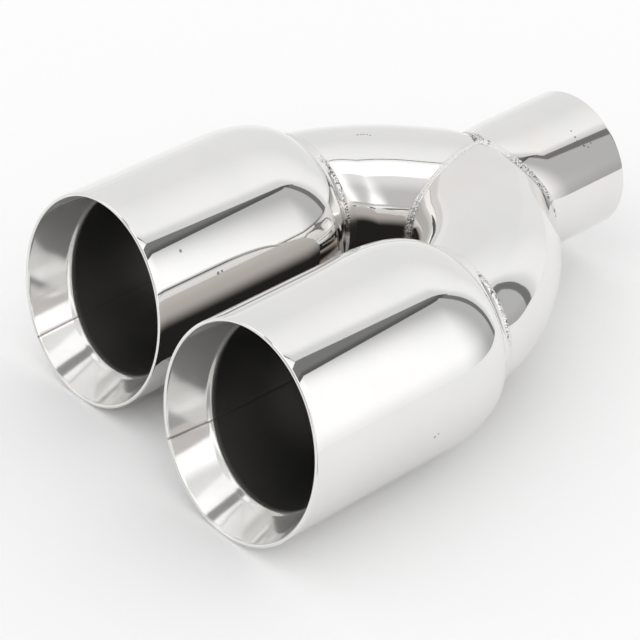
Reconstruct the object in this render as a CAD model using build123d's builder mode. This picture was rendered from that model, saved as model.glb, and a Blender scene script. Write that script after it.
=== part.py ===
from build123d import *
import os
from math import atan2, cos, degrees, radians, sin

os.makedirs("parts", exist_ok=True)

# Twin exhaust tip in millimetres. The inlet opens towards +Y and both mouths open towards -Y.
# The origin is the centre of the inlet's open end. +X is the right hand of somebody looking into
# the mouths, and the two tips lie level side by side.

# Tube that carries the gas
pipe_outer_radius = 31.75
wall = 1.2
pipe_inner_radius = pipe_outer_radius - wall
inlet_to_joint = 59.0

# Legs: both are bent on one former and leave the joint at one angle
bend_radius = 95.25
leave_angle = 51.0
arrive_angle = 22.0

# A leg's last stretch is rolled round to slip into the collar of its tip
round_end = 12.0
collar_overlap = 1.5
collar_gap = 0.05

# Tips
tip_radius = 44.45
tip_length = 114.3
slant_angle = 11.5
right_offset = 57.8
left_offset = 51.3
inlet_to_left_neck = 116.5
stagger = 13.2

# Rear of a tip's outer shell: a long crown that turns into a short collar round the leg
shoulder_depth = 38.0
crown_length = 32.7
crown_sweep = 77.0
crown_ledge = 2.25
neck_round = 3.5

# Rolled lip and the inner wall behind it
lip_round = 0.8
land_depth = 2.0
flare_depth = 17.9
sleeve_gap = 3.15
sleeve_depth = 78.0

# Weld beads: bar radius, and degrees by which a bead is first drawn past its ends
bead_radius = 2.1
bead_overrun = 8

# Values that follow from the ones above
spare = 40.0
joint_y = -inlet_to_joint
left_weld_y = -inlet_to_left_neck
right_weld_y = left_weld_y - stagger
left_mouth_y = left_weld_y - tip_length
right_mouth_y = right_weld_y - tip_length
shoulder_start = tip_length - shoulder_depth
crown_flat_radius = pipe_outer_radius + crown_ledge
collar_radius = pipe_outer_radius + collar_gap + wall
tip_inner_radius = tip_radius - wall
sleeve_outer_radius = tip_inner_radius - sleeve_gap
mitre_angle = (180 - leave_angle) / 2
bead_gap_angle = (180 + mitre_angle) / 2


def heading(side, angle):
    """Level direction that points angle degrees away from -Y, towards the given side."""
    return Vector(side * sin(radians(angle)), -cos(radians(angle)), 0)


def straight_lengths(offset, weld_y):
    """Lengths of a leg's two straight ends, so that its bend brings it to the tip's axis."""
    leave, arrive = heading(1, leave_angle), heading(1, arrive_angle)
    bend_across = bend_radius * (cos(radians(arrive_angle)) - cos(radians(leave_angle)))
    bend_along = bend_radius * (sin(radians(leave_angle)) - sin(radians(arrive_angle)))
    across = offset - bend_across
    along = joint_y - weld_y - bend_along
    spread = leave.X * -arrive.Y - arrive.X * -leave.Y
    first = (across * -arrive.Y - arrive.X * along) / spread
    last = (leave.X * along - across * -leave.Y) / spread
    return first, last


def leg_bar(side, offset, weld_y, radius):
    """Solid round bar along one leg, from beyond the joint to its round end inside the collar."""
    first, last = straight_lengths(offset, weld_y)
    leave, arrive = heading(side, leave_angle), heading(side, arrive_angle)
    joint = Vector(0, joint_y, 0)
    neck = Vector(side * offset, weld_y, 0)
    up = (0, 0, 1)
    neck_plane = Plane(origin=neck, x_dir=up, z_dir=(0, -1, 0))
    cut = Plane(origin=neck - arrive * round_end, x_dir=up, z_dir=arrive)
    with BuildPart() as bar:
        with BuildLine() as route:
            run_in = Line(joint - leave * spare, joint + leave * first)
            bend = JernArc(run_in @ 1, leave, bend_radius, -side * (leave_angle - arrive_angle))
            Line(bend @ 1, (bend @ 1) + arrive * (last + spare / 2))
        with BuildSketch(Plane(origin=route.line @ 0, x_dir=up, z_dir=leave)):
            Circle(radius)
        sweep()
        split(bisect_by=cut, keep=Keep.BOTTOM)
        cut_face = bar.faces().sort_by_distance(cut.origin)[0]
        with BuildSketch(neck_plane) as round_face:
            Circle(radius)
        loft(sections=[cut_face, round_face.sketch.face()])
        with BuildSketch(neck_plane):
            Circle(radius)
        extrude(amount=collar_overlap)
    return bar.part


def mitre_plane(side):
    """Upright plane through the joint's centre line, halfway between the inlet and one leg."""
    normal = (-side * cos(radians(mitre_angle)), sin(radians(mitre_angle)), 0)
    return Plane(origin=(0, joint_y, 0), z_dir=normal)


def mouth_plane(offset, mouth_y, depth):
    """Slanted plane parallel to a mouth, the given depth behind it along the tip's axis."""
    normal = (0, cos(radians(slant_angle)), -sin(radians(slant_angle)))
    return Plane(origin=(offset, mouth_y + depth, 0), x_dir=(1, 0, 0), z_dir=normal)


def slanted_ring(radius):
    """Section of a round tube of this radius by a plane parallel to the mouth."""
    Ellipse(radius, radius / cos(radians(slant_angle)))


def tip_core(offset, mouth_y, inset, collar_end):
    """Solid inside of a tip's outer shell, drawn in from its outer face by the inset."""
    drop = tip_radius - inset - crown_flat_radius
    length = crown_length - inset
    sweep_angle = radians(crown_sweep)
    slope = atan2(drop * sin(sweep_angle), length * cos(sweep_angle))
    downhill = Vector(-sin(slope), cos(slope))
    collar = collar_radius - inset
    neck_bend = neck_round + inset
    fall = crown_flat_radius + drop * cos(sweep_angle) - collar - neck_bend * (1 - cos(slope))
    with BuildPart() as core:
        with BuildSketch(Plane(origin=(offset, mouth_y, 0))):
            with BuildLine():
                front = Line((0, -spare), (tip_radius - inset, -spare))
                side = Line(front @ 1, (tip_radius - inset, shoulder_start))
                crown = EllipticalCenterArc(
                    (crown_flat_radius, shoulder_start), drop, length,
                    start_angle=0, arc_size=crown_sweep,
                )
                ramp = Line(crown @ 1, (crown @ 1) + downhill * (fall / sin(slope)))
                turn = JernArc(ramp @ 1, downhill, neck_bend, -degrees(slope))
                rim = Line(turn @ 1, (collar, collar_end))
                rear = Line(rim @ 1, (0, collar_end))
                Line(rear @ 1, (0, -spare))
            make_face()
        revolve(axis=Axis((offset, 0, 0), (0, 1, 0)))
    return core.part


def outer_shell(offset, mouth_y):
    """Outer wall of one tip: cylinder, crowned shoulder and open collar, with a slanted mouth."""
    outside = tip_core(offset, mouth_y, 0, tip_length)
    inside = tip_core(offset, mouth_y, wall, tip_length + spare)
    with BuildPart() as shell:
        add(outside)
        add(inside, mode=Mode.SUBTRACT)
        split(bisect_by=mouth_plane(offset, mouth_y, 0), keep=Keep.TOP)
        rim = shell.edges().filter_by(GeomType.ELLIPSE).sort_by(SortBy.LENGTH)[-1]
        fillet(rim, lip_round)
    return shell.part


def inner_wall(offset, mouth_y):
    """Inner wall of one tip: land against the shell, slanted flare and straight sleeve."""
    along = (0, 1, 0)
    with BuildPart() as liner:
        for radius_change, mode in ((0, Mode.ADD), (-wall, Mode.SUBTRACT)):
            rim_radius = tip_inner_radius + radius_change
            sleeve_radius = sleeve_outer_radius + radius_change
            with BuildSketch(mouth_plane(offset, mouth_y, 0)):
                slanted_ring(rim_radius)
            extrude(amount=land_depth, dir=along, mode=mode)
            with BuildSketch(mouth_plane(offset, mouth_y, land_depth)):
                slanted_ring(rim_radius)
            with BuildSketch(mouth_plane(offset, mouth_y, flare_depth)):
                slanted_ring(sleeve_radius)
            loft(ruled=True, mode=mode)
            with BuildSketch(mouth_plane(offset, mouth_y, flare_depth)):
                slanted_ring(sleeve_radius)
            extrude(amount=sleeve_depth, dir=along, mode=mode)
        square_end = Plane(origin=(offset, mouth_y + sleeve_depth, 0), z_dir=(0, 1, 0))
        split(bisect_by=square_end, keep=Keep.BOTTOM)
    return liner.part


def half_ring(upright, reach):
    """Half of an oval ring of round bar, with its open ends carried a little past top and bottom."""
    with BuildPart() as ring:
        with BuildLine(upright) as route:
            EllipticalCenterArc(
                (0, 0), reach, pipe_outer_radius,
                start_angle=-90 - bead_overrun, arc_size=180 + 2 * bead_overrun,
            )
        with BuildSketch(Plane(origin=route.line @ 0, z_dir=route.line % 0)):
            Circle(bead_radius)
        sweep()
    return ring.part


def joint_bead(side):
    """Round bead along the mitre between the inlet and one leg, before it is trimmed."""
    across = Vector(side * sin(radians(mitre_angle)), cos(radians(mitre_angle)), 0)
    upright = Plane(origin=(0, joint_y, 0), x_dir=across, z_dir=across.cross(Vector(0, 0, 1)))
    return half_ring(upright, pipe_outer_radius / sin(radians(mitre_angle)))


def neck_bead(offset, weld_y):
    """Ring of round bar on the end of a tip's collar, where its leg comes out."""
    with BuildPart() as ring:
        with BuildSketch(Plane(origin=(offset, weld_y, 0))):
            with Locations((pipe_outer_radius + collar_gap, 0)):
                Circle(bead_radius)
        revolve(axis=Axis((offset, 0, 0), (0, 1, 0)))
    return ring.part


def between_beads(side):
    """Upright plane through the joint's centre line that parts two beads where they meet."""
    normal = (-side * cos(radians(bead_gap_angle)), sin(radians(bead_gap_angle)), 0)
    return Plane(origin=(0, joint_y, 0), z_dir=normal)


crotch_plane = Plane(origin=(0, joint_y, 0), z_dir=(1, 0, 0))

# Inlet pipe: straight tube, its front end cut to a vee by the two mitres
with BuildPart() as inlet_bar:
    with BuildSketch(Plane.XZ):
        Circle(pipe_outer_radius)
    extrude(amount=inlet_to_joint + spare)

with BuildPart() as inlet_pipe:
    with BuildSketch(Plane.XZ):
        Circle(pipe_outer_radius)
        Circle(pipe_inner_radius, mode=Mode.SUBTRACT)
    extrude(amount=inlet_to_joint + spare)
    split(bisect_by=mitre_plane(1), keep=Keep.TOP)
    split(bisect_by=mitre_plane(-1), keep=Keep.TOP)
inlet_pipe.part.label = "inlet_pipe"
export_step(inlet_pipe.part, "parts/inlet_pipe.step")

# Right leg: bent tube from the joint to the right tip
right_bar = leg_bar(1, right_offset, right_weld_y, pipe_outer_radius)
right_gas_way = leg_bar(1, right_offset, right_weld_y, pipe_inner_radius)
with BuildPart() as right_leg:
    add(right_bar)
    add(right_gas_way, mode=Mode.SUBTRACT)
    split(bisect_by=mitre_plane(1), keep=Keep.BOTTOM)
    split(bisect_by=crotch_plane, keep=Keep.TOP)
right_leg.part.label = "right_leg"
export_step(right_leg.part, "parts/right_leg.step")

# Left leg: the same bend turned the other way
left_bar = leg_bar(-1, left_offset, left_weld_y, pipe_outer_radius)
left_gas_way = leg_bar(-1, left_offset, left_weld_y, pipe_inner_radius)
with BuildPart() as left_leg:
    add(left_bar)
    add(left_gas_way, mode=Mode.SUBTRACT)
    split(bisect_by=mitre_plane(-1), keep=Keep.BOTTOM)
    split(bisect_by=crotch_plane, keep=Keep.BOTTOM)
left_leg.part.label = "left_leg"
export_step(left_leg.part, "parts/left_leg.step")

# Outer shells
right_shell_part = outer_shell(right_offset, right_mouth_y)
with BuildPart() as right_shell:
    add(right_shell_part)
right_shell.part.label = "right_shell"
export_step(right_shell.part, "parts/right_shell.step")

left_shell_part = outer_shell(-left_offset, left_mouth_y)
with BuildPart() as left_shell:
    add(left_shell_part)
left_shell.part.label = "left_shell"
export_step(left_shell.part, "parts/left_shell.step")

# Inner walls
right_wall_part = inner_wall(right_offset, right_mouth_y)
with BuildPart() as right_liner:
    add(right_wall_part)
right_liner.part.label = "right_liner"
export_step(right_liner.part, "parts/right_liner.step")

left_wall_part = inner_wall(-left_offset, left_mouth_y)
with BuildPart() as left_liner:
    add(left_wall_part)
left_liner.part.label = "left_liner"
export_step(left_liner.part, "parts/left_liner.step")

# Weld beads round the joint, each trimmed to the tubes it joins and to its neighbours
right_joint_bead = joint_bead(1)
with BuildPart() as inlet_right_weld:
    add(right_joint_bead)
    add(inlet_bar.part, mode=Mode.SUBTRACT)
    add(right_bar, mode=Mode.SUBTRACT)
    split(bisect_by=crotch_plane, keep=Keep.TOP)
    split(bisect_by=between_beads(1), keep=Keep.TOP)
inlet_right_weld.part.label = "inlet_right_weld"
export_step(inlet_right_weld.part, "parts/inlet_right_weld.step")

left_joint_bead = joint_bead(-1)
with BuildPart() as inlet_left_weld:
    add(left_joint_bead)
    add(inlet_bar.part, mode=Mode.SUBTRACT)
    add(left_bar, mode=Mode.SUBTRACT)
    split(bisect_by=crotch_plane, keep=Keep.BOTTOM)
    split(bisect_by=between_beads(-1), keep=Keep.TOP)
inlet_left_weld.part.label = "inlet_left_weld"
export_step(inlet_left_weld.part, "parts/inlet_left_weld.step")

crotch_upright = Plane(origin=(0, joint_y, 0), x_dir=(0, -1, 0), z_dir=(-1, 0, 0))
crotch_bead = half_ring(crotch_upright, pipe_outer_radius / sin(radians(leave_angle)))
with BuildPart() as crotch_weld:
    add(crotch_bead)
    add(right_bar, mode=Mode.SUBTRACT)
    add(left_bar, mode=Mode.SUBTRACT)
    split(bisect_by=between_beads(1), keep=Keep.BOTTOM)
    split(bisect_by=between_beads(-1), keep=Keep.BOTTOM)
crotch_weld.part.label = "crotch_weld"
export_step(crotch_weld.part, "parts/crotch_weld.step")

# Weld beads round the necks of the tips
right_ring = neck_bead(right_offset, right_weld_y)
right_core = tip_core(right_offset, right_mouth_y, 0, tip_length)
with BuildPart() as right_neck_weld:
    add(right_ring)
    add(right_bar, mode=Mode.SUBTRACT)
    add(right_core, mode=Mode.SUBTRACT)
right_neck_weld.part.label = "right_neck_weld"
export_step(right_neck_weld.part, "parts/right_neck_weld.step")

left_ring = neck_bead(-left_offset, left_weld_y)
left_core = tip_core(-left_offset, left_mouth_y, 0, tip_length)
with BuildPart() as left_neck_weld:
    add(left_ring)
    add(left_bar, mode=Mode.SUBTRACT)
    add(left_core, mode=Mode.SUBTRACT)
left_neck_weld.part.label = "left_neck_weld"
export_step(left_neck_weld.part, "parts/left_neck_weld.step")
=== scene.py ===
import bmesh
import bpy
import numpy as np
from math import atan2, cos, hypot, pi, radians, sin, tan
from mathutils import Matrix, Vector

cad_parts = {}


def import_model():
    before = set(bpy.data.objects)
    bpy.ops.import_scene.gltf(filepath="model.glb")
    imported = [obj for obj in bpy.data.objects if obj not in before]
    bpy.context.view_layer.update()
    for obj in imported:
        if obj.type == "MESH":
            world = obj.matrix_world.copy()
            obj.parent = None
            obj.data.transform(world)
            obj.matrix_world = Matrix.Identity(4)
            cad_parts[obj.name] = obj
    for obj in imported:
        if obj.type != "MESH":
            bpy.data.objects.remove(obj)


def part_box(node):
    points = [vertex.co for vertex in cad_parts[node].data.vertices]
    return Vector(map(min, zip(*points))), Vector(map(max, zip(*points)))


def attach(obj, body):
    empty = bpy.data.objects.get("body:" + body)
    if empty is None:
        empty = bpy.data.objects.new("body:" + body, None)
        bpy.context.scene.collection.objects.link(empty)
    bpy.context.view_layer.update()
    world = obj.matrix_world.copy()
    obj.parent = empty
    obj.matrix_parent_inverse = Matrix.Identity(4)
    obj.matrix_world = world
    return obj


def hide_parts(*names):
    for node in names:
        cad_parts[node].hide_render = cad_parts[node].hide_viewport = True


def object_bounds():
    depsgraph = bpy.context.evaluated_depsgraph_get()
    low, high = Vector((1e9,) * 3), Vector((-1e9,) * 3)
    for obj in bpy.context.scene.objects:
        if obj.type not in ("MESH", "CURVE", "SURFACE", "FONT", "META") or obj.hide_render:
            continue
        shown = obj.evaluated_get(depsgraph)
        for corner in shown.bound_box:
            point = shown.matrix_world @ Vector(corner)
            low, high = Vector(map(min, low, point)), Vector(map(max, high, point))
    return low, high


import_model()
cad_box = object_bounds()

# Sizes in metres, read from the frame where it gives them
MM = 0.001


def box_of(name):
    """Lowest and highest corner of a node as two arrays."""
    low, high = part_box(name)
    return np.array(low, float), np.array(high, float)


inlet_low, inlet_high = box_of("inlet_pipe")
right_low, right_high = box_of("right_shell")
left_low, left_high = box_of("left_shell")
GROUND = cad_box[0][2]

# Tubes of the joint
WALL = 1.2 * MM
PIPE_R = (inlet_high[0] - inlet_low[0]) / 2
PIPE_IN = PIPE_R - WALL
JOINT_Y = inlet_low[1]
LEAVE = radians(51.0)
BEND_R = 95.25 * MM
MITRE = (pi - LEAVE) / 2
EDGE_ROUND = 0.35 * MM
ROUND_END = 16.0 * MM
NECK_OVAL = 1.02

# Weld lines between the inlet and the legs: bow from the flat mitre, and how the tubes are drawn in
SEAM_BOW = 2.0 * MM
SEAM_DIP = 1.1 * MM
DIP_LONG = 12.5 * MM
SEAM_BLEND = 9.0 * MM

# Shell of a tip
TIP_R = (right_high[0] - right_low[0]) / 2
TIP_LENGTH = 114.3 * MM
SLANT = radians(11.5)
SHOULDER_START = 80.3 * MM
SHOULDER_LONG = 28.7 * MM
SHOULDER_DEEP = 10.45 * MM
SHOULDER_TURN = radians(77.0)
NECK_R = PIPE_R + 1.25 * MM
NECK_ROUND = 3.5 * MM
LIP = 0.75 * MM

# Liner of a tip: flare, rounded step, sleeve, and the raised seam of its rolled sheet
FLARE = 17.6 * MM
FLARE_LEAN = 1.5
STEP_IN = 1.0 * MM
STEP_LONG = 2.8 * MM
SLEEVE = 78.0 * MM
SLEEVE_R = TIP_R - 7.25 * MM
RIDGE_HIGH = 0.10 * MM
RIDGE_WIDE = 0.55 * MM

# Weld beads: half width, height and pitch of the ripples
INLET_BEAD = (1.9 * MM, 0.85 * MM, 1.35 * MM)
CROTCH_BEAD = (1.5 * MM, 0.7 * MM, 1.35 * MM)
NECK_BEAD = (1.15 * MM, 0.6 * MM, 1.25 * MM)

# Degrees round each weld line where its bead stands out
INLET_RIGHT_SPANS = ((-90, 64), (79, 91))
INLET_LEFT_SPANS = ((-90, 45), (76, 91))
CROTCH_SPANS = ((-90, 33),)
NECK_SPANS = ((10, 66), (120, 160), (-150, -60))

# Points in a ring of each mesh
TUBE_AROUND = 144
TIP_AROUND = 192


def tip_values(sign, low, high, arrive, seam):
    """Place of one tip, the angle at which its leg arrives and where its liner's seam lies."""
    neck = high[1]
    return {"sign": sign, "x": (low[0] + high[0]) / 2, "neck": neck, "mouth": neck - TIP_LENGTH,
            "arrive": radians(arrive), "seam": radians(seam)}


SIDES = {
    "right": tip_values(1, right_low, right_high, 15.0, 209.5),
    "left": tip_values(-1, left_low, left_high, 22.0, 225.0),
}


# Mesh helpers

def new_object(name, points, faces, material):
    """Mesh object with smooth faces, riding on the one body."""
    mesh = bpy.data.meshes.new(name)
    mesh.from_pydata([tuple(p) for p in points], [], faces)
    mesh.validate()
    mesh.materials.append(material)
    mesh.polygons.foreach_set("use_smooth", [True] * len(mesh.polygons))
    obj = bpy.data.objects.new(name, mesh)
    bpy.context.scene.collection.objects.link(obj)
    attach(obj, "root")
    return obj


def ring_grid(rows, wrap_rows=True):
    """Points and quads of rows that each close on themselves; the last row may join the first."""
    rows = np.array(rows)
    count, across = rows.shape[:2]
    points = rows.reshape(-1, 3)
    faces = []
    for i in range(count if wrap_rows else count - 1):
        j = (i + 1) % count
        for k in range(across):
            m = (k + 1) % across
            faces.append((i * across + k, i * across + m, j * across + m, j * across + k))
    return points, faces


def sharpen(obj, across, rows):
    """Marks the edges along the given rows of a ring grid as sharp."""
    wanted = set(rows)
    for edge in obj.data.edges:
        a, b = edge.vertices
        if a // across == b // across and a // across in wanted:
            edge.use_edge_sharp = True


def outward(obj):
    """Turns the faces outward."""
    bm = bmesh.new()
    bm.from_mesh(obj.data)
    bmesh.ops.recalc_face_normals(bm, faces=bm.faces)
    bm.to_mesh(obj.data)
    bm.free()


def paint(obj, name, values):
    """Stores one number per vertex for the material to read."""
    layer = obj.data.attributes.new(name, "FLOAT", "POINT")
    layer.data.foreach_set("value", np.asarray(values, float))


def soft_step(t):
    """0 up to 0, 1 from 1 on, smooth between."""
    t = min(max(t, 0.0), 1.0)
    return t * t * (3 - 2 * t)


def unit(v):
    """The same direction with a length of one."""
    return v / np.linalg.norm(v)


def around(count, extra=()):
    """Angles round a ring, with extra ones put in where detail needs them."""
    angles = set(np.round(np.linspace(0, 2 * pi, count, endpoint=False), 9))
    angles.update(np.round(np.mod(extra, 2 * pi), 9))
    return np.array(sorted(angles))


# Material helpers

def node_tree(name):
    """New material with its tree and Principled shader."""
    material = bpy.data.materials.new(name)
    material.use_nodes = True
    tree = material.node_tree
    return material, tree, tree.nodes["Principled BSDF"]


def add(tree, kind, **values):
    """Adds a node; names that match an input socket set it, the rest are properties."""
    node = tree.nodes.new(kind)
    for key, value in values.items():
        if key in node.inputs:
            node.inputs[key].default_value = value
        else:
            setattr(node, key, value)
    return node


def own_place(tree):
    """Place of a surface point in the part's own frame."""
    return add(tree, "ShaderNodeTexCoord").outputs["Object"]


def painted(tree, name):
    """Number that paint stored on the mesh."""
    return add(tree, "ShaderNodeAttribute", attribute_name=name).outputs["Fac"]


def noise(tree, place, scale, detail, roughness=0.5):
    """Noise pattern fixed to the part."""
    node = add(tree, "ShaderNodeTexNoise", Scale=scale, Detail=detail, Roughness=roughness)
    tree.links.new(place, node.inputs["Vector"])
    return node.outputs["Fac"]


def bump(tree, shader, height, strength, distance):
    """Bump of the shader's normal."""
    node = add(tree, "ShaderNodeBump", Strength=strength, Distance=distance)
    tree.links.new(height, node.inputs["Height"])
    tree.links.new(node.outputs["Normal"], shader.inputs["Normal"])


def math_node(tree, operation, *values):
    """Math node fed by sockets or numbers."""
    node = add(tree, "ShaderNodeMath", operation=operation)
    for socket, value in zip(node.inputs, values):
        if isinstance(value, (int, float)):
            socket.default_value = value
        else:
            tree.links.new(value, socket)
    return node.outputs[0]


def inverse(tree, value):
    """One less the value."""
    return math_node(tree, "SUBTRACT", 1.0, value)


def linear_range(tree, value, at_zero, at_one):
    """Number that runs evenly from at_zero to at_one while the value goes from 0 to 1."""
    node = add(tree, "ShaderNodeMapRange")
    tree.links.new(value, node.inputs["Value"])
    node.inputs["To Min"].default_value = at_zero
    node.inputs["To Max"].default_value = at_one
    return node.outputs["Result"]


def smooth_range(tree, value, low, high, at_low=0.0, at_high=1.0):
    """Number that runs smoothly from at_low to at_high while the value goes from low to high."""
    node = add(tree, "ShaderNodeMapRange", interpolation_type="SMOOTHSTEP")
    tree.links.new(value, node.inputs["Value"])
    node.inputs["From Min"].default_value = low
    node.inputs["From Max"].default_value = high
    node.inputs["To Min"].default_value = at_low
    node.inputs["To Max"].default_value = at_high
    return node.outputs["Result"]


def mix_colour(tree, factor, a, b):
    """Colour mix fed by sockets or colours."""
    node = add(tree, "ShaderNodeMix", data_type="RGBA")
    tree.links.new(factor, node.inputs["Factor"])
    for socket, value in ((node.inputs[6], a), (node.inputs[7], b)):
        if isinstance(value, tuple):
            socket.default_value = value
        else:
            tree.links.new(value, socket)
    return node.outputs[2]


def marks_mask(tree, place, marks):
    """1 inside any of the small marks, each given as a point and a radius in millimetres."""
    mask = None
    ragged = noise(tree, place, 900.0, 2.0)
    for x, y, z, radius in marks:
        away = add(tree, "ShaderNodeVectorMath", operation="DISTANCE")
        tree.links.new(place, away.inputs[0])
        away.inputs[1].default_value = (x * MM, y * MM, z * MM)
        wobbly = math_node(tree, "MULTIPLY_ADD", ragged, -radius * MM, away.outputs["Value"])
        spot = inverse(tree, smooth_range(tree, wobbly, 0.2 * radius * MM, 0.6 * radius * MM))
        mask = spot if mask is None else math_node(tree, "MAXIMUM", mask, spot)
    return mask


def scorch_mask(tree, place):
    """1 in the ragged strip beside a weld line, 0 away from it."""
    ragged = noise(tree, place, 420.0, 3.0)
    gap = math_node(tree, "MULTIPLY_ADD", ragged, -0.0024, painted(tree, "weld_gap"))
    return inverse(tree, smooth_range(tree, gap, 0.0002, 0.0016))


# Materials

SCORCHED = (0.62, 0.58, 0.55, 1.0)
PITTED = (0.16, 0.15, 0.14, 1.0)
# Painted shade for the liner's deep sleeve
SLEEVE_SHADE = (0.17, 0.165, 0.16, 1.0)
BURNT_SEAM = (0.20, 0.14, 0.11, 1.0)
SATIN_DARK = (0.80, 0.79, 0.77, 1.0)
SATIN_LIGHT = (0.86, 0.855, 0.84, 1.0)
BEAD_SILVER = (0.86, 0.85, 0.83, 1.0)
BEAD_PIT = (0.13, 0.12, 0.11, 1.0)

# Small marks seen on the part: x, y, z and radius in millimetres
SHELL_MARKS = (
    (-19.0, -208.1, 30.6, 0.75), (-10.9, -195.7, 18.6, 0.7), (-11.0, -193.6, 18.6, 0.6),
    (101.5, -181.4, -8.1, 0.6), (101.6, -179.6, -7.4, 0.5),
)
TUBE_MARKS = (
    (-38.6, -94.5, 31.7, 0.45), (-37.9, -93.2, 31.7, 0.5), (-37.2, -92.1, 31.7, 0.45),
    (-36.0, -91.2, 31.7, 0.5), (-34.6, -90.7, 31.7, 0.4),
    (15.4, -18.4, 27.7, 0.45), (18.2, -18.7, 26.0, 0.5), (19.8, -19.0, 24.9, 0.4),
    (22.2, -17.0, 22.7, 0.5), (23.0, -15.3, 21.8, 0.4), (22.4, -12.8, 22.5, 0.4),
)


def steel(name, colour, rough, wave, blush, marks):
    """Polished stainless steel: faint cloudiness, fine polishing haze, slow waviness, small marks."""
    material, tree, shader = node_tree(name)
    shader.inputs["Metallic"].default_value = 1.0
    place = own_place(tree)
    red, green, blue = colour
    warm = (red, green * 0.997, blue * 0.99, 1.0)
    cool = (red * 0.975, green * 0.977, blue * 0.98, 1.0)
    cloud = smooth_range(tree, noise(tree, place, 28.0, 4.0, 0.6), 0.35, 0.65)
    tone = mix_colour(tree, cloud, cool, warm)
    slow_tint = smooth_range(tree, noise(tree, place, 34.0, 2.0), 0.45, 0.75)
    rosy = (red, green * 0.95, blue * 0.93, 1.0)
    tone = mix_colour(tree, math_node(tree, "MULTIPLY", slow_tint, blush), tone, rosy)
    scorched = scorch_mask(tree, place)
    tone = mix_colour(tree, math_node(tree, "MULTIPLY", scorched, 0.15), tone, SCORCHED)
    flaws = marks_mask(tree, place, marks)
    tone = mix_colour(tree, math_node(tree, "MULTIPLY", flaws, 0.8), tone, PITTED)
    tree.links.new(tone, shader.inputs["Base Color"])
    haze = noise(tree, place, 140.0, 6.0, 0.7)
    gloss = math_node(tree, "MULTIPLY_ADD", haze, rough, rough * 0.5)
    spoilt = math_node(tree, "MAXIMUM", scorched, flaws)
    tree.links.new(math_node(tree, "MULTIPLY_ADD", spoilt, 0.14, gloss), shader.inputs["Roughness"])
    bump(tree, shader, noise(tree, place, 22.0, 1.0), wave, 1.0 * MM)
    return material


def weld_metal():
    """Weld bead as laid: bright silver ripples with small dark pits between them."""
    material, tree, shader = node_tree("weld_metal")
    shader.inputs["Metallic"].default_value = 1.0
    place = own_place(tree)
    patch = noise(tree, place, 800.0, 4.0, 0.7)
    pits = inverse(tree, smooth_range(tree, patch, 0.38, 0.5))
    pitted = math_node(tree, "MULTIPLY", pits, painted(tree, "vigour"))
    tree.links.new(mix_colour(tree, pitted, BEAD_SILVER, BEAD_PIT), shader.inputs["Base Color"])
    tree.links.new(linear_range(tree, patch, 0.34, 0.10), shader.inputs["Roughness"])
    bump(tree, shader, noise(tree, place, 1300.0, 2.0), 0.6, 0.3 * MM)
    return material


def liner_metal():
    """Inner wall: polished flare, then a dull sleeve whose near-black colour is painted shade of the deep
    recess.
    """
    material, tree, shader = node_tree("liner_steel")
    place = own_place(tree)
    depth = painted(tree, "depth")
    inside = smooth_range(tree, depth, FLARE + 0.55 * STEP_LONG, FLARE + 1.7 * STEP_LONG)
    brushed = smooth_range(tree, noise(tree, place, 60.0, 3.0), 0.3, 0.7)
    # Painted shade: the sleeve deep inside the tube is darkened nearly to black
    tone = mix_colour(tree, inside, mix_colour(tree, brushed, SATIN_DARK, SATIN_LIGHT), SLEEVE_SHADE)
    burnt = inverse(tree, smooth_range(tree, painted(tree, "seam_gap"), 0.0001, 0.0007))
    strength = math_node(tree, "MULTIPLY_ADD", inside, -0.6, 0.75)
    tone = mix_colour(tree, math_node(tree, "MULTIPLY", burnt, strength), tone, BURNT_SEAM)
    tree.links.new(tone, shader.inputs["Base Color"])
    tree.links.new(linear_range(tree, inside, 0.74, 1.0), shader.inputs["Metallic"])
    tree.links.new(linear_range(tree, inside, 0.11, 0.45), shader.inputs["Roughness"])
    bump(tree, shader, noise(tree, place, 30.0, 2.0), 0.2, 1.0 * MM)
    return material


SHELL_STEEL = steel("shell_steel", (0.83, 0.825, 0.813), 0.035, 0.03, 0.0, SHELL_MARKS)
TUBE_STEEL = steel("tube_steel", (0.82, 0.815, 0.803), 0.05, 0.03, 0.5, TUBE_MARKS)
LINER_STEEL = liner_metal()
WELD_METAL = weld_metal()


# Tubes of the joint

class Leg:
    """Centre line of one leg: straight, bend, straight, carried on past both ends."""

    def __init__(self, side):
        self.sign, self.offset, self.end_y = side["sign"], abs(side["x"]), side["neck"]
        arrive = side["arrive"]
        across = self.offset - BEND_R * (cos(arrive) - cos(LEAVE))
        along = JOINT_Y - self.end_y - BEND_R * (sin(LEAVE) - sin(arrive))
        spread = sin(LEAVE) * cos(arrive) - sin(arrive) * cos(LEAVE)
        self.first = (across * cos(arrive) - sin(arrive) * along) / spread
        self.last = (sin(LEAVE) * along - across * cos(LEAVE)) / spread
        self.bend = BEND_R * (LEAVE - arrive)
        self.length = self.first + self.bend + self.last

    def centre(self, s):
        """Point and direction at the distance s from the joint."""
        if s < self.first:
            angle, x, y = LEAVE, s * sin(LEAVE), JOINT_Y - s * cos(LEAVE)
        else:
            turned = min(s - self.first, self.bend)
            angle = LEAVE - turned / BEND_R
            x = self.first * sin(LEAVE) + BEND_R * (cos(angle) - cos(LEAVE))
            y = JOINT_Y - self.first * cos(LEAVE) - BEND_R * (sin(LEAVE) - sin(angle))
            rest = s - self.first - turned
            x, y = x + rest * sin(angle), y - rest * cos(angle)
        return np.array([self.sign * x, y, 0.0]), angle

    def surface(self, s, phi, radius):
        """Point of the tube's wall at the distance s, phi round from its outer side."""
        centre, angle = self.centre(s)
        out = np.array([self.sign * cos(angle), sin(angle), 0.0])
        return centre + radius * (cos(phi) * out + np.array([0, 0, sin(phi)]))

    def crossing(self, phi, radius, beyond, low, high):
        """Distance at which the wall line at phi passes the test, found by halving."""
        for _ in range(34):
            middle = (low + high) / 2
            if beyond(self.surface(middle, phi, radius)):
                high = middle
            else:
                low = middle
        return (low + high) / 2


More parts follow.
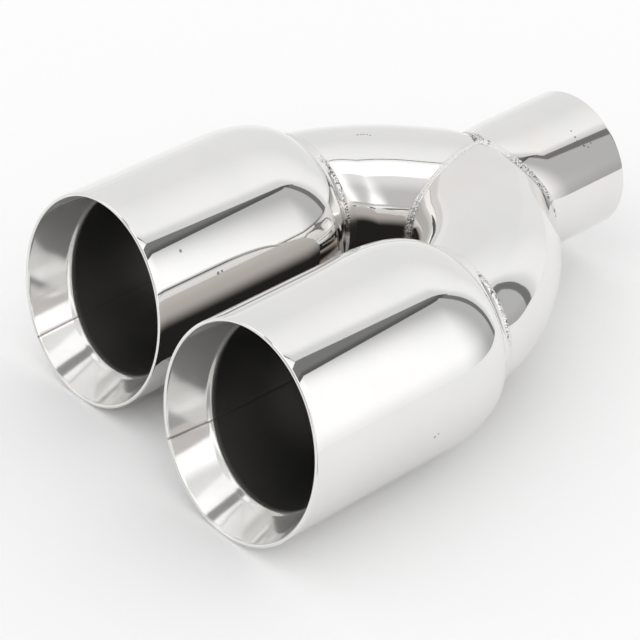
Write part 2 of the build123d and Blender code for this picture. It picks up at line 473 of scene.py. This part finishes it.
def mitre_normal(sign):
    """Normal of the mitre between the inlet and one leg, towards the inlet."""
    return np.array([-sign * cos(MITRE), sin(MITRE), 0.0])


def seam_bow(p):
    """How far the weld line bows from the flat mitre towards the leg, at a point of the mitre."""
    turn = atan2(abs(p[2]), abs(p[0]))
    return SEAM_BOW * sin(2 * turn) ** 2 if p[2] > 0 else 0.0


def seam_dip(phi):
    """How far the tubes are drawn in at the weld line between the inlet and a leg."""
    return SEAM_DIP * soft_step(1.8 * abs(cos(phi)))


def inlet_front(phi, radius):
    """Where the inlet's wall line at phi meets the weld line."""
    p = np.array([radius * cos(phi), 0.0, radius * sin(phi)])
    return JOINT_Y + abs(p[0]) / tan(MITRE) - seam_bow(p) / sin(MITRE)


def inlet_point(phi, y, radius):
    """Point of the inlet's wall, drawn in a little close to the weld line."""
    away = y - inlet_front(phi, radius)
    r = radius - seam_dip(phi) * max(0.0, 1 - away / DIP_LONG) ** 2
    return np.array([r * cos(phi), y, r * sin(phi)])


def leg_mesh(name, side):
    """Bent tube with open ends: the joint end cut by two mitres, the other by the neck plane."""
    leg = Leg(side)
    sign = side["sign"]
    joint = np.array([0, JOINT_Y, 0])
    neck = np.array([side["x"], leg.end_y, 0.0])
    normal = mitre_normal(sign)
    rounder = np.array([NECK_OVAL * cos(side["arrive"]) - 1.0, 0.0, 0.0])

    def past_joint(p):
        return (p - joint) @ normal + seam_bow(p) < 0 and p[0] * sign > 0

    def past_neck(p):
        return p[1] < leg.end_y

    def wall_point(radius, phi, start, end, t):
        """Wall point a share t of the way from start to end, fitted to the collar and the inlet."""
        run = t * (end - start)
        p = leg.surface(start + run, phi, radius)
        squeeze = soft_step(1 - (1 - t) * (end - start) / ROUND_END)
        p = p + (leg.surface(end, phi, radius) - neck) * rounder * squeeze
        if cos(phi) > 0:
            inlet_phi = phi if sign > 0 else pi - phi
            seam = inlet_point(inlet_phi, inlet_front(inlet_phi, radius), radius)
            p = p + (seam - leg.surface(start, phi, radius)) * (1 - soft_step(run / SEAM_BLEND))
        return p

    def weld_gap(p, phi, run):
        """Distance of a wall point from the nearest weld."""
        to_joint = min(run, abs(p[0]) if cos(phi) < 0.1 else 1.0)
        return min(to_joint, abs(p[1] - leg.end_y))

    phis = around(TUBE_AROUND, (pi / 2, -pi / 2))
    steps = np.linspace(0, 1, 110)
    rows, gaps = [], []
    for radius, order in ((PIPE_R, steps), (PIPE_IN, steps[::-1])):
        starts = [leg.crossing(phi, radius, past_joint, -0.05, 0.05) for phi in phis]
        ends = [leg.crossing(phi, radius, past_neck, leg.length - 0.03, leg.length + 0.03) for phi in phis]
        for t in order:
            row = [wall_point(radius, phi, a, b, t) for phi, a, b in zip(phis, starts, ends)]
            gaps += [weld_gap(p, phi, t * (b - a)) for p, phi, a, b in zip(row, phis, starts, ends)]
            rows.append(row)
    points, faces = ring_grid(rows)
    obj = new_object(name + "_skin", points, faces, TUBE_STEEL)
    paint(obj, "weld_gap", gaps)
    sharpen(obj, len(phis), (0, len(steps) - 1, len(steps), 2 * len(steps) - 1))
    outward(obj)
    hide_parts(name)


def inlet_mesh():
    """Straight inlet tube: rounded open end, vee-cut front end."""
    phis = around(TUBE_AROUND, (pi / 2, -pi / 2))
    steps = np.linspace(0, 1, 90)
    turns = np.linspace(0, pi / 2, 5)

    def wall_rows(radius, order):
        """Rings of the wall from the weld line to the rounded end."""
        fronts = [inlet_front(phi, radius) for phi in phis]
        return [[inlet_point(phi, a + t * (-EDGE_ROUND - a), radius) for phi, a in zip(phis, fronts)]
                for t in order]

    def edge_rows(radius, inward, angles):
        """Rings of the rounded edge of the open end."""
        sizes = [(radius + inward * EDGE_ROUND * (1 - cos(angle)), -EDGE_ROUND * (1 - sin(angle)))
                 for angle in angles]
        return [[[r * cos(phi), y, r * sin(phi)] for phi in phis] for r, y in sizes]

    rows = wall_rows(PIPE_R, steps) + edge_rows(PIPE_R, -1, turns[1:])
    rows += edge_rows(PIPE_IN, 1, turns[:0:-1]) + wall_rows(PIPE_IN, steps[::-1])
    points, faces = ring_grid(rows)
    obj = new_object("inlet_pipe_skin", points, faces, TUBE_STEEL)
    gaps = [p[1] - inlet_front(phi, PIPE_R) for row in rows for phi, p in zip(phis, row)]
    paint(obj, "weld_gap", gaps)
    sharpen(obj, len(phis), (0, len(rows) - 1))
    outward(obj)
    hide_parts("inlet_pipe")


# Tips. A profile is a list of radius, depth behind the mouth and share of the mouth's slant.

def tip_point(side, radius, depth, phi, lean):
    """Point of a tip: depth behind the mouth, shifted by the slant as far as lean says."""
    z = radius * sin(phi)
    return [side["x"] + radius * cos(phi), side["mouth"] + depth + lean * z * tan(SLANT), z]


def shoulder_profile(inset):
    """Radius and depth from the end of the straight wall to the neck, drawn in by the inset."""
    long, deep = SHOULDER_LONG - inset, SHOULDER_DEEP - inset
    points = []
    for t in np.linspace(0, SHOULDER_TURN, 34)[1:]:
        points.append((TIP_R - inset - deep * (1 - cos(t)), SHOULDER_START + long * sin(t)))
    slope = atan2(deep * sin(SHOULDER_TURN), long * cos(SHOULDER_TURN))
    bend, neck = NECK_ROUND + inset, NECK_R - inset
    r, d = points[-1]
    run = (r - neck - bend * (1 - cos(slope))) / sin(slope)
    r, d = r - run * sin(slope), d + run * cos(slope)
    for t in np.linspace(0, 1, 9):
        turned = slope * (1 - t)
        points.append((r - bend * (cos(turned) - cos(slope)), d + bend * (sin(slope) - sin(turned))))
    return points


def shell_profile():
    """Profile of the shell from its lip to the neck and back inside, and the row of the neck."""
    profile = []
    for angle in np.linspace(0, pi / 2, 8):
        profile.append((TIP_R - LIP * (1 - sin(angle)), LIP * (1 - cos(angle)), 1.0))
    for t in np.linspace(0, 1, 26)[1:]:
        profile.append((TIP_R, LIP + t * (SHOULDER_START - LIP), 1.0 - t))
    profile += [(r, d, 0.0) for r, d in shoulder_profile(0.0)]
    profile.append((NECK_R, TIP_LENGTH, 0.0))
    neck_row = len(profile) - 1
    collar_inside = TIP_LENGTH - 2 * WALL
    profile.append((PIPE_IN, TIP_LENGTH, 0.0))
    profile.append((PIPE_IN, collar_inside, 0.0))
    profile += [(r, d, 0.0) for r, d in shoulder_profile(WALL)[::-2] if d < collar_inside]
    for t in np.linspace(0, 1, 12):
        profile.append((TIP_R - WALL + t * (WALL - LIP), SHOULDER_START * (1 - t), t))
    return profile, neck_row


def shell_mesh(name, side):
    """Outer wall: rounded lip, straight wall, rounded shoulder and the collar round the neck."""
    phis = around(TIP_AROUND)
    profile, neck_row = shell_profile()
    rows = [[tip_point(side, r, d, phi, lean) for phi in phis] for r, d, lean in profile]
    points, faces = ring_grid(rows)
    obj = new_object(name + "_skin", points, faces, SHELL_STEEL)
    gaps = [hypot(TIP_LENGTH - d, max(r - NECK_R, 0)) for r, d, lean in profile for phi in phis]
    paint(obj, "weld_gap", gaps)
    sharpen(obj, len(phis), (neck_row, neck_row + 1, neck_row + 2, len(profile) - 1, 0))
    outward(obj)
    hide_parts(name)


def liner_profile():
    """Profile of the liner from its lip in and back outside, with its seam's first and end rows."""
    lip_r = TIP_R - 2 * LIP
    ring_r = SLEEVE_R + STEP_IN
    profile = []
    for angle in np.linspace(pi / 2, 0, 7):
        profile.append((lip_r + LIP * (1 - cos(angle)), LIP * (1 - sin(angle)), 1.0))
    seam_row = len(profile)
    for t in np.linspace(0, 1, 26)[1:]:
        lean = 1.0 + t * (FLARE_LEAN - 1.0)
        profile.append((lip_r + t * (ring_r - lip_r), LIP + t * (FLARE - LIP), lean))
    run_on = (lip_r - ring_r) / (FLARE - LIP) * STEP_LONG / STEP_IN
    for t in np.linspace(0, 1, 13)[1:]:
        drawn = (t ** 3 - 2 * t * t + t) * run_on + 3 * t * t - 2 * t ** 3
        profile.append((ring_r - STEP_IN * drawn, FLARE + STEP_LONG * t, FLARE_LEAN))
    sleeve_start = FLARE + STEP_LONG
    for t in np.linspace(0.012, 1, 40):
        profile.append((SLEEVE_R, sleeve_start + t * (SLEEVE - sleeve_start), FLARE_LEAN * (1.0 - t)))
    end_row = len(profile)
    outer_r = SLEEVE_R + WALL
    profile.append((outer_r, SLEEVE, 0.0))
    for t in np.linspace(0, 1, 20)[1:]:
        profile.append((outer_r, SLEEVE + t * (FLARE - SLEEVE), FLARE_LEAN * t))
    for t in np.linspace(0, 1, 10)[1:]:
        r = outer_r + t * (TIP_R - LIP - outer_r)
        profile.append((r, FLARE + t * (1.5 * LIP - FLARE), FLARE_LEAN + t * (1.0 - FLARE_LEAN)))
    return profile, seam_row, end_row


def ridge(away, depth):
    """Height of the liner's seam at a distance beside it, a little uneven along the depth."""
    uneven = 1 + 0.2 * sin(depth * 2100) * sin(depth * 730)
    return RIDGE_HIGH * np.exp(-(away / RIDGE_WIDE) ** 2) * uneven


def liner_mesh(name, side):
    """Inner wall: flare, small step and sleeve, with the raised seam of its rolled sheet."""
    close = [side["seam"] + k * 0.3 * MM / SLEEVE_R for k in range(-12, 13)]
    phis = around(TIP_AROUND, close)
    profile, seam_row, end_row = liner_profile()
    rows, depth, seam = [], [], []
    for index, (r, d, lean) in enumerate(profile):
        aways = [abs((phi - side["seam"] + pi) % (2 * pi) - pi) * r for phi in phis]
        raised = seam_row <= index < end_row - 1
        rows.append([tip_point(side, r - ridge(away, d) if raised else r, d, phi, lean)
                     for phi, away in zip(phis, aways)])
        depth += [d] * len(phis)
        seam += aways
    points, faces = ring_grid(rows)
    obj = new_object(name + "_skin", points, faces, LINER_STEEL)
    paint(obj, "depth", depth)
    paint(obj, "seam_gap", seam)
    sharpen(obj, len(phis), (end_row - 1, end_row, len(profile) - 1))
    outward(obj)
    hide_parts(name)


# Weld beads

def bead_mesh(name, curve, arms, size, seed, closed, vigour):
    """Rippled bead along a curve; arms gives the two ways down its sides at each point,
    vigour how strongly it stands out there, from 0 to 1."""
    half_width, height, pitch = size
    rng = np.random.default_rng(seed)
    steps = np.diff(curve, axis=0, append=curve[:1] if closed else curve[-1:])
    travel = np.concatenate(([0], np.cumsum(np.linalg.norm(steps, axis=1))[:-1]))
    total = travel[-1] + np.linalg.norm(steps[-1])
    wobble = rng.normal(size=(6, 4))
    top_points, low_points = 15, 5

    def slow(u, channel):
        """Slow random change along the bead."""
        return sum(w[0] * sin(2 * pi * (k + 2) * u / total + w[1] * 3 + channel * 2.1)
                   for k, w in enumerate(wobble)) * 0.12

    rows = []
    for u, point, ((arm_a, up_a), (arm_b, up_b)), strong in zip(travel, curve, arms, vigour):
        wide = half_width * (1 + 0.35 * slow(u, 0)) * (0.85 + 0.4 * strong)
        shift = half_width * 0.3 * slow(u, 1)
        tall = height * (1 + 0.5 * slow(u, 2)) * (0.5 + 0.5 * strong)
        lumpy = height * 0.6 * (0.3 + 0.7 * strong)
        row = []
        for v in np.linspace(-1, 1, top_points):
            reach = v * wide + shift
            arm = arm_a if reach < 0 else arm_b
            blend = 0.5 + 0.5 * min(max(reach / (0.6 * wide), -1), 1)
            rise = unit(up_a * (1 - blend) + up_b * blend)
            ripple = (u + 1.44 * pitch * v * v) / pitch % 1.0
            crown = (1 - v * v) ** 0.6
            lift = tall * crown + lumpy * (ripple ** 0.6 - 0.5) * crown - 0.05 * MM
            row.append(point + arm * abs(reach) + rise * lift)
        for v in np.linspace(1, -1, low_points):
            reach = v * wide * 0.9 + shift
            arm = arm_a if reach < 0 else arm_b
            row.append(point + arm * abs(reach) - (up_a + up_b) / 2 * 0.7 * MM)
        rows.append(row)
    points, faces = ring_grid(rows, wrap_rows=closed)
    across = top_points + low_points
    if not closed:
        faces.append(tuple(range(across))[::-1])
        faces.append(tuple((len(rows) - 1) * across + k for k in range(across)))
    obj = new_object(name + "_bead", points, faces, WELD_METAL)
    paint(obj, "vigour", np.repeat(0.15 + 0.85 * np.asarray(vigour), across))
    outward(obj)
    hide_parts(name)


def window(angles, spans, soft=radians(8)):
    """1 where an angle lies in one of the spans of degrees, 0 outside, smooth between."""
    shown = []
    for angle in angles:
        best = 0.0
        for low, high in spans:
            inside = min(angle - radians(low), radians(high) - angle)
            best = max(best, soft_step(0.5 + inside / soft))
        shown.append(best)
    return shown


def tube_normal(p, direction):
    """Outward normal at p of the straight tube through the joint along the direction."""
    q = p - np.array([0, JOINT_Y, 0])
    return unit(q - (q @ direction) * direction)


def inlet_seam(sign, count=900):
    """Weld line between the inlet and the leg on the given side, from below to above."""
    phis = np.linspace(-pi / 2 - 0.02, pi / 2 + 0.02, count)
    line = np.array([inlet_point(phi, inlet_front(phi, PIPE_R), PIPE_R) for phi in phis])
    return line * np.array([sign, 1.0, 1.0])


def crotch_seam(count=900):
    """Weld line between the two legs, from below to above."""
    angles = np.linspace(-pi / 2 - 0.02, pi / 2 + 0.02, count)
    reach = PIPE_R / sin(LEAVE)
    return np.array([[0.0, JOINT_Y - reach * cos(t), PIPE_R * sin(t)] for t in angles])


def joint_bead(name, curve, dir_a, dir_b, size, seed, spans):
    """Bead along a weld line of the joint, between the tubes that leave along dir_a and dir_b."""
    arms = []
    for p, step in zip(curve, np.gradient(curve, axis=0)):
        pair = []
        for direction in (dir_a, dir_b):
            up = tube_normal(p, direction)
            arm = unit(np.cross(unit(step), up))
            pair.append((arm if arm @ direction > 0 else -arm, up))
        arms.append(pair)
    angles = np.linspace(-pi / 2, pi / 2, len(curve))
    bead_mesh(name, curve, arms, size, seed, False, window(angles, spans))


def neck_bead(name, side, seed):
    """Bead round a leg where it meets the collar of its tip."""
    curve, arms = [], []
    centre = np.array([side["x"], side["neck"] - 0.2 * MM, 0.0])
    heading = np.array([-side["sign"] * sin(side["arrive"]) * 0.6, 1.0, 0.0])
    down_collar = np.array([0, -1.0, 0])
    angles = np.linspace(0, 2 * pi, 1500, endpoint=False)
    for t in angles:
        out = np.array([cos(t), 0.0, sin(t)])
        tangent = np.array([-sin(t), 0.0, cos(t)])
        up_tube = unit(out - (out @ unit(heading)) * unit(heading))
        arm_tube = unit(np.cross(tangent, up_tube))
        if arm_tube @ heading < 0:
            arm_tube = -arm_tube
        curve.append(centre + out * (NECK_R - 0.35 * MM))
        arms.append(((down_collar, out), (arm_tube, up_tube)))
    angles = np.where(angles > pi, angles - 2 * pi, angles)
    bead_mesh(name, np.array(curve), arms, NECK_BEAD, seed, True, window(angles, NECK_SPANS))


# The part

for key, side in SIDES.items():
    leg_mesh(key + "_leg", side)
    shell_mesh(key + "_shell", side)
    liner_mesh(key + "_liner", side)
    neck_bead(key + "_neck_weld", side, 11 + side["sign"])
inlet_mesh()

TO_INLET = np.array([0, 1.0, 0])
TO_RIGHT = np.array([sin(LEAVE), -cos(LEAVE), 0])
TO_LEFT = np.array([-sin(LEAVE), -cos(LEAVE), 0])
joint_bead("inlet_right_weld", inlet_seam(1), TO_INLET, TO_RIGHT, INLET_BEAD, 21, INLET_RIGHT_SPANS)
joint_bead("inlet_left_weld", inlet_seam(-1), TO_INLET, TO_LEFT, INLET_BEAD, 22, INLET_LEFT_SPANS)
joint_bead("crotch_weld", crotch_seam(), TO_RIGHT, TO_LEFT, CROTCH_BEAD, 23, CROTCH_SPANS)


# Floor and studio

def floor():
    """Plain white floor under the part."""
    material, tree, shader = node_tree("floor_white")
    shader.inputs["Base Color"].default_value = (0.985, 0.985, 0.985, 1.0)
    shader.inputs["Roughness"].default_value = 0.9
    shader.inputs["Specular IOR Level"].default_value = 0.0
    half = 6.0
    corners = [(-half, -half, GROUND), (half, -half, GROUND), (half, half, GROUND), (-half, half, GROUND)]
    mesh = bpy.data.meshes.new("floor")
    mesh.from_pydata(corners, [], [(0, 1, 2, 3)])
    mesh.materials.append(material)
    obj = bpy.data.objects.new("floor", mesh)
    bpy.context.scene.collection.objects.link(obj)


def card(name, corners, level, colour=(1.0, 1.0, 1.0, 1.0)):
    """Panel of the studio that only reflections show; level is how bright it looks, or builds it."""
    material = bpy.data.materials.new(name)
    material.use_nodes = True
    tree = material.node_tree
    tree.nodes.clear()
    out = tree.nodes.new("ShaderNodeOutputMaterial")
    glow = tree.nodes.new("ShaderNodeEmission")
    glow.inputs["Color"].default_value = colour
    if callable(level):
        tree.links.new(level(tree, own_place(tree)), glow.inputs["Strength"])
    else:
        glow.inputs["Strength"].default_value = level
    tree.links.new(glow.outputs[0], out.inputs[0])
    mesh = bpy.data.meshes.new(name)
    mesh.from_pydata([tuple(c) for c in corners], [], [tuple(range(len(corners)))])
    mesh.materials.append(material)
    obj = bpy.data.objects.new(name, mesh)
    bpy.context.scene.collection.objects.link(obj)
    obj.visible_camera = False
    obj.visible_diffuse = False
    obj.visible_shadow = False


def reach_along(tree, place, start, way):
    """Distance of a place from the start, measured along a direction."""
    offset = add(tree, "ShaderNodeVectorMath", operation="SUBTRACT")
    tree.links.new(place, offset.inputs[0])
    offset.inputs[1].default_value = tuple(start)
    dot = add(tree, "ShaderNodeVectorMath", operation="DOT_PRODUCT")
    tree.links.new(offset.outputs["Vector"], dot.inputs[0])
    dot.inputs[1].default_value = tuple(way)
    return dot.outputs["Value"]


def height_of(tree, place):
    """Height of a place."""
    return reach_along(tree, place, (0, 0, 0), (0, 0, 1))


# Upright panel at the side of the studio: a point of its plane, and the plane's way along the floor
PANEL_EDGE = np.array([0.24, 0.34, 0.0])
PANEL_WAY = unit(np.array([0.20, -0.32, 0.0]))
PANEL_NEAR = 0.035
PANEL_FAR = 1.6
PANEL_TOP = 0.60
GAP_BEHIND = 0.01
WALL_NEAR = -0.022
WALL_FAR = -2.5

# Roof, its far edge as x and y, and the directions towards the front of the studio and along it
ROOF_Z = 0.53
ROOF_EDGE = ((0.142, 0.06), (0.153, 0.092), (0.166, 0.12), (0.177, 0.15), (0.188, 0.18), (0.197, 0.21),
             (0.203, 0.28), (0.218, 0.36), (0.27, 0.50), (0.40, 0.85), (0.8, 2.5))
ROOF_CORNER = (-3.0, 2.5)
ROOF_SIDE = (0.13, 0.14, 0.0)
ROOF_SIDE_WAY = (0.935, -0.355, 0.0)
UNDER_ROOF = 0.002
FRONT_FACING = np.array([0.62, -0.785, 0.0])
FRONT_ALONG = np.array([0.785, 0.62, 0.0])

# Stands in front, and the dark patch of ground before them
STAND_X = 0.6
STAND_FROM = -0.20
STAND_TO = -0.42
STAND_MIDDLE = 0.15
STAND_TOP = 0.46
OVER_GROUND = 0.0004


def on_panel(reach, z, behind=0.0):
    """Point of the upright panel's plane, the given reach along it and a little behind it."""
    back = np.array([-PANEL_WAY[1], PANEL_WAY[0], 0.0])
    return PANEL_EDGE + PANEL_WAY * reach + back * behind + np.array([0.0, 0.0, z])


def on_roof(facing, along, below=0.0):
    """Point at the roof's height, measured towards the front of the studio and along it."""
    return tuple(FRONT_FACING * facing + FRONT_ALONG * along + np.array([0.0, 0.0, ROOF_Z - below]))


def side_panel():
    """Bright upright panel, dimmer at its near edge and at its foot."""
    def level(tree, place):
        side = smooth_range(tree, reach_along(tree, place, PANEL_EDGE, PANEL_WAY), 0.12, 0.33, 0.54, 1.22)
        foot = smooth_range(tree, height_of(tree, place), -0.05, 0.08, 0.84, 1.0)
        return math_node(tree, "MULTIPLY", side, foot)

    corners = ((PANEL_NEAR, GROUND), (PANEL_FAR, GROUND), (PANEL_FAR, PANEL_TOP), (PANEL_NEAR, PANEL_TOP))
    card("side_panel", [on_panel(reach, z) for reach, z in corners], level)


def dark_gap():
    """Dark strip beside and above the panel, lighter again higher up."""
    def level(tree, place):
        high = height_of(tree, place)
        darkest = smooth_range(tree, high, 0.56, 0.60, 0.20, 0.11)
        return math_node(tree, "ADD", darkest, smooth_range(tree, high, 0.63, 0.74, 0.0, 0.11))

    outline = ((-0.03, GROUND), (0.05, GROUND), (0.05, 0.55), (1.8, 0.55), (1.8, 2.4), (-0.8, 2.4),
               (-0.8, ROOF_Z), (-0.03, ROOF_Z))
    card("dark_gap", [on_panel(reach, z, GAP_BEHIND) for reach, z in outline], level)


def back_wall():
    """White wall that carries the panel's plane on behind the part."""
    def level(tree, place):
        reach = reach_along(tree, place, PANEL_EDGE, PANEL_WAY)
        near_edge = smooth_range(tree, reach, -0.14, -0.02, 1.0, 0.74)
        return math_node(tree, "MULTIPLY", near_edge, smooth_range(tree, reach, -0.60, -0.16, 0.92, 1.04))

    corners = ((WALL_FAR, GROUND), (WALL_NEAR, GROUND), (WALL_NEAR, ROOF_Z), (WALL_FAR, ROOF_Z))
    card("back_wall", [on_panel(reach, z) for reach, z in corners], level)


def roof():
    """White roof over the part, dimmer towards the panel."""
    def level(tree, place):
        side = reach_along(tree, place, ROOF_SIDE, ROOF_SIDE_WAY)
        near_edge = smooth_range(tree, side, -0.07, 0.01, 1.0, 0.74)
        return math_node(tree, "MULTIPLY", near_edge, smooth_range(tree, side, -0.55, -0.05, 0.90, 1.06))

    corners = [(x, y, ROOF_Z) for x, y in ROOF_EDGE + (ROOF_CORNER,)]
    card("roof", corners + [on_roof(0.03, -2.4), on_roof(0.03, 0.16)], level)


def roof_strip(name, facings, alongs, level, below=0.0):
    """Rectangle at the roof's height, square to the front of the studio."""
    (near, far), (start, end) = facings, alongs
    corners = ((near, start), (far, start), (far, end), (near, end))
    card(name, [on_roof(facing, along, below) for facing, along in corners], level)


def front_light():
    """Bright part of the roof in front, with a thin dark line where it starts."""
    def level(tree, place):
        return smooth_range(tree, reach_along(tree, place, (0, 0, 0), FRONT_FACING), 0.03, 0.10, 1.0, 1.3)

    roof_strip("front_light", (0.036, 0.304), (-1.2, 0.17), level)
    roof_strip("roof_gap", (0.027, 0.039), (-0.6, 0.11), 0.22, UNDER_ROOF)


def roof_bar():
    """Dark bar under the roof."""
    outline = ((-0.19, -0.21), (-0.08, -0.19), (-0.09, -0.46), (-0.20, -0.46))
    card("roof_bar", [(x, y, ROOF_Z - UNDER_ROOF) for x, y in outline], 0.13)


def stands():
    """Dark ground, a dark stand behind it and a grey one above that."""
    ground = ((0.25, -0.21), (STAND_X, STAND_FROM), (STAND_X, STAND_TO), (0.25, -0.30))
    card("dark_ground", [(x, y, GROUND + OVER_GROUND) for x, y in ground], 0.24)
    for name, low, high, level, colour in (
        ("dark_stand", GROUND, STAND_MIDDLE, 0.24, (1.0, 1.0, 1.0, 1.0)),
        ("grey_stand", STAND_MIDDLE, STAND_TOP, 0.52, (1.0, 0.95, 0.92, 1.0)),
    ):
        upright = ((STAND_FROM, low), (STAND_TO, low), (STAND_TO, high), (STAND_FROM, high))
        card(name, [(STAND_X, y, z) for y, z in upright], level, colour)


def front_room():
    """Room beyond the bright roof, darker with distance."""
    def level(tree, place):
        deep = smooth_range(tree, reach_along(tree, place, (0, 0, 0), FRONT_FACING), 0.31, 0.70, 1.05, 0.72)
        along = reach_along(tree, place, (0, 0, 0), FRONT_ALONG)
        return math_node(tree, "MULTIPLY", deep, smooth_range(tree, along, -0.02, 0.14, 0.85, 1.9))

    roof_strip("front_room", (0.304, 2.2), (-2.0, 1.6), level)


def shaded_floor():
    """Painted shade: brownish dark card on the floor between the two tips, seen only in reflections."""
    way = unit(np.array([0.12, 1.0, 0.0]))
    sideways = np.array([way[1], -way[0], 0.0])
    middle = np.array([0.004, -0.15, GROUND + 0.0003])

    def level(tree, place):
        across = math_node(tree, "ABSOLUTE", reach_along(tree, place, middle, sideways))
        along = reach_along(tree, place, middle, way)
        side = smooth_range(tree, across, 0.012, 0.055, 0.015, 0.55)
        front = smooth_range(tree, along, -0.052, -0.040, 0.30, 0.0)
        back = smooth_range(tree, along, 0.035, 0.052, 0.0, 0.30)
        return math_node(tree, "MAXIMUM", side, math_node(tree, "MAXIMUM", front, back))

    outline = ((-0.052, -0.05), (-0.052, 0.05), (0.02, 0.05), (0.052, 0.015), (0.052, -0.03),
               (0.02, -0.055))
    # Brownish tint of the painted shade
    shade_brown = (1.0, 0.85, 0.74, 1.0)
    card("shaded_floor", [middle + way * a + sideways * b for a, b in outline], level, shade_brown)


def shade_flag():
    """Painted shade: upright dark card just outside the nearer shell, seen only in reflections, lighter
    towards its top.
    """
    def level(tree, place):
        high = height_of(tree, place)
        rising = smooth_range(tree, high, -0.003, 0.011, 0.018, 0.50)
        return math_node(tree, "ADD", rising, smooth_range(tree, high, 0.010, 0.022, 0.0, 0.10))

    x = right_low[0] - 0.8 * MM
    outline = ((-0.242, GROUND), (-0.122, GROUND), (-0.122, 0.004), (-0.127, 0.013), (-0.136, 0.019),
               (-0.150, 0.0215), (-0.236, 0.0215))
    # Warm tint of the painted shade
    card("shade_flag", [(x, y, z) for y, z in outline], level, (1.0, 0.93, 0.88, 1.0))


def world():
    """Even white light from all round, a little greyer in reflections."""
    scene_world = bpy.data.worlds.new("studio")
    bpy.context.scene.world = scene_world
    scene_world.use_nodes = True
    tree = scene_world.node_tree
    tree.nodes.clear()
    out = tree.nodes.new("ShaderNodeOutputWorld")
    white = add(tree, "ShaderNodeBackground", Color=(1, 1, 1, 1), Strength=1.0)
    pale = add(tree, "ShaderNodeBackground", Color=(0.93, 0.93, 0.93, 1), Strength=1.0)
    path = tree.nodes.new("ShaderNodeLightPath")
    plain = math_node(tree, "MAXIMUM", path.outputs["Is Camera Ray"], path.outputs["Is Diffuse Ray"])
    mix = tree.nodes.new("ShaderNodeMixShader")
    tree.links.new(plain, mix.inputs[0])
    tree.links.new(pale.outputs[0], mix.inputs[1])
    tree.links.new(white.outputs[0], mix.inputs[2])
    tree.links.new(mix.outputs[0], out.inputs[0])


# Camera: angles, lens by its focal length in pixels of the 640 wide picture, and aim from the far mouth
CAMERA_AZIMUTH = radians(48.33)
CAMERA_ELEVATION = radians(34.35)
CAMERA_AWAY = 1.0433
AIM_RIGHT = 94.2 * MM
AIM_DOWN = 7.47 * MM
SENSOR = 36.0
FOCAL_PIXELS = 2545
PICTURE_WIDE = 640


def camera():
    """Camera at the photograph's angle: 48 degrees round from the front, 34 degrees up."""
    azimuth, elevation = CAMERA_AZIMUTH, CAMERA_ELEVATION
    back = Vector((sin(azimuth) * cos(elevation), -cos(azimuth) * cos(elevation), sin(elevation)))
    right = Vector((cos(azimuth), sin(azimuth), 0))
    up = back.cross(right)
    aim = Vector((SIDES["left"]["x"], SIDES["left"]["mouth"], 0)) + right * AIM_RIGHT - up * AIM_DOWN
    data = bpy.data.cameras.new("camera")
    data.sensor_width = SENSOR
    data.lens = SENSOR * FOCAL_PIXELS / PICTURE_WIDE
    obj = bpy.data.objects.new("camera", data)
    bpy.context.scene.collection.objects.link(obj)
    turn = Matrix((right, up, back)).transposed()
    obj.matrix_world = Matrix.Translation(aim + back * CAMERA_AWAY) @ turn.to_4x4()
    bpy.context.scene.camera = obj


floor()
world()
for make in (side_panel, dark_gap, back_wall, roof, front_light, roof_bar, stands, front_room, shaded_floor,
             shade_flag):
    make()
camera()
bpy.context.scene.view_settings.view_transform = "Standard"
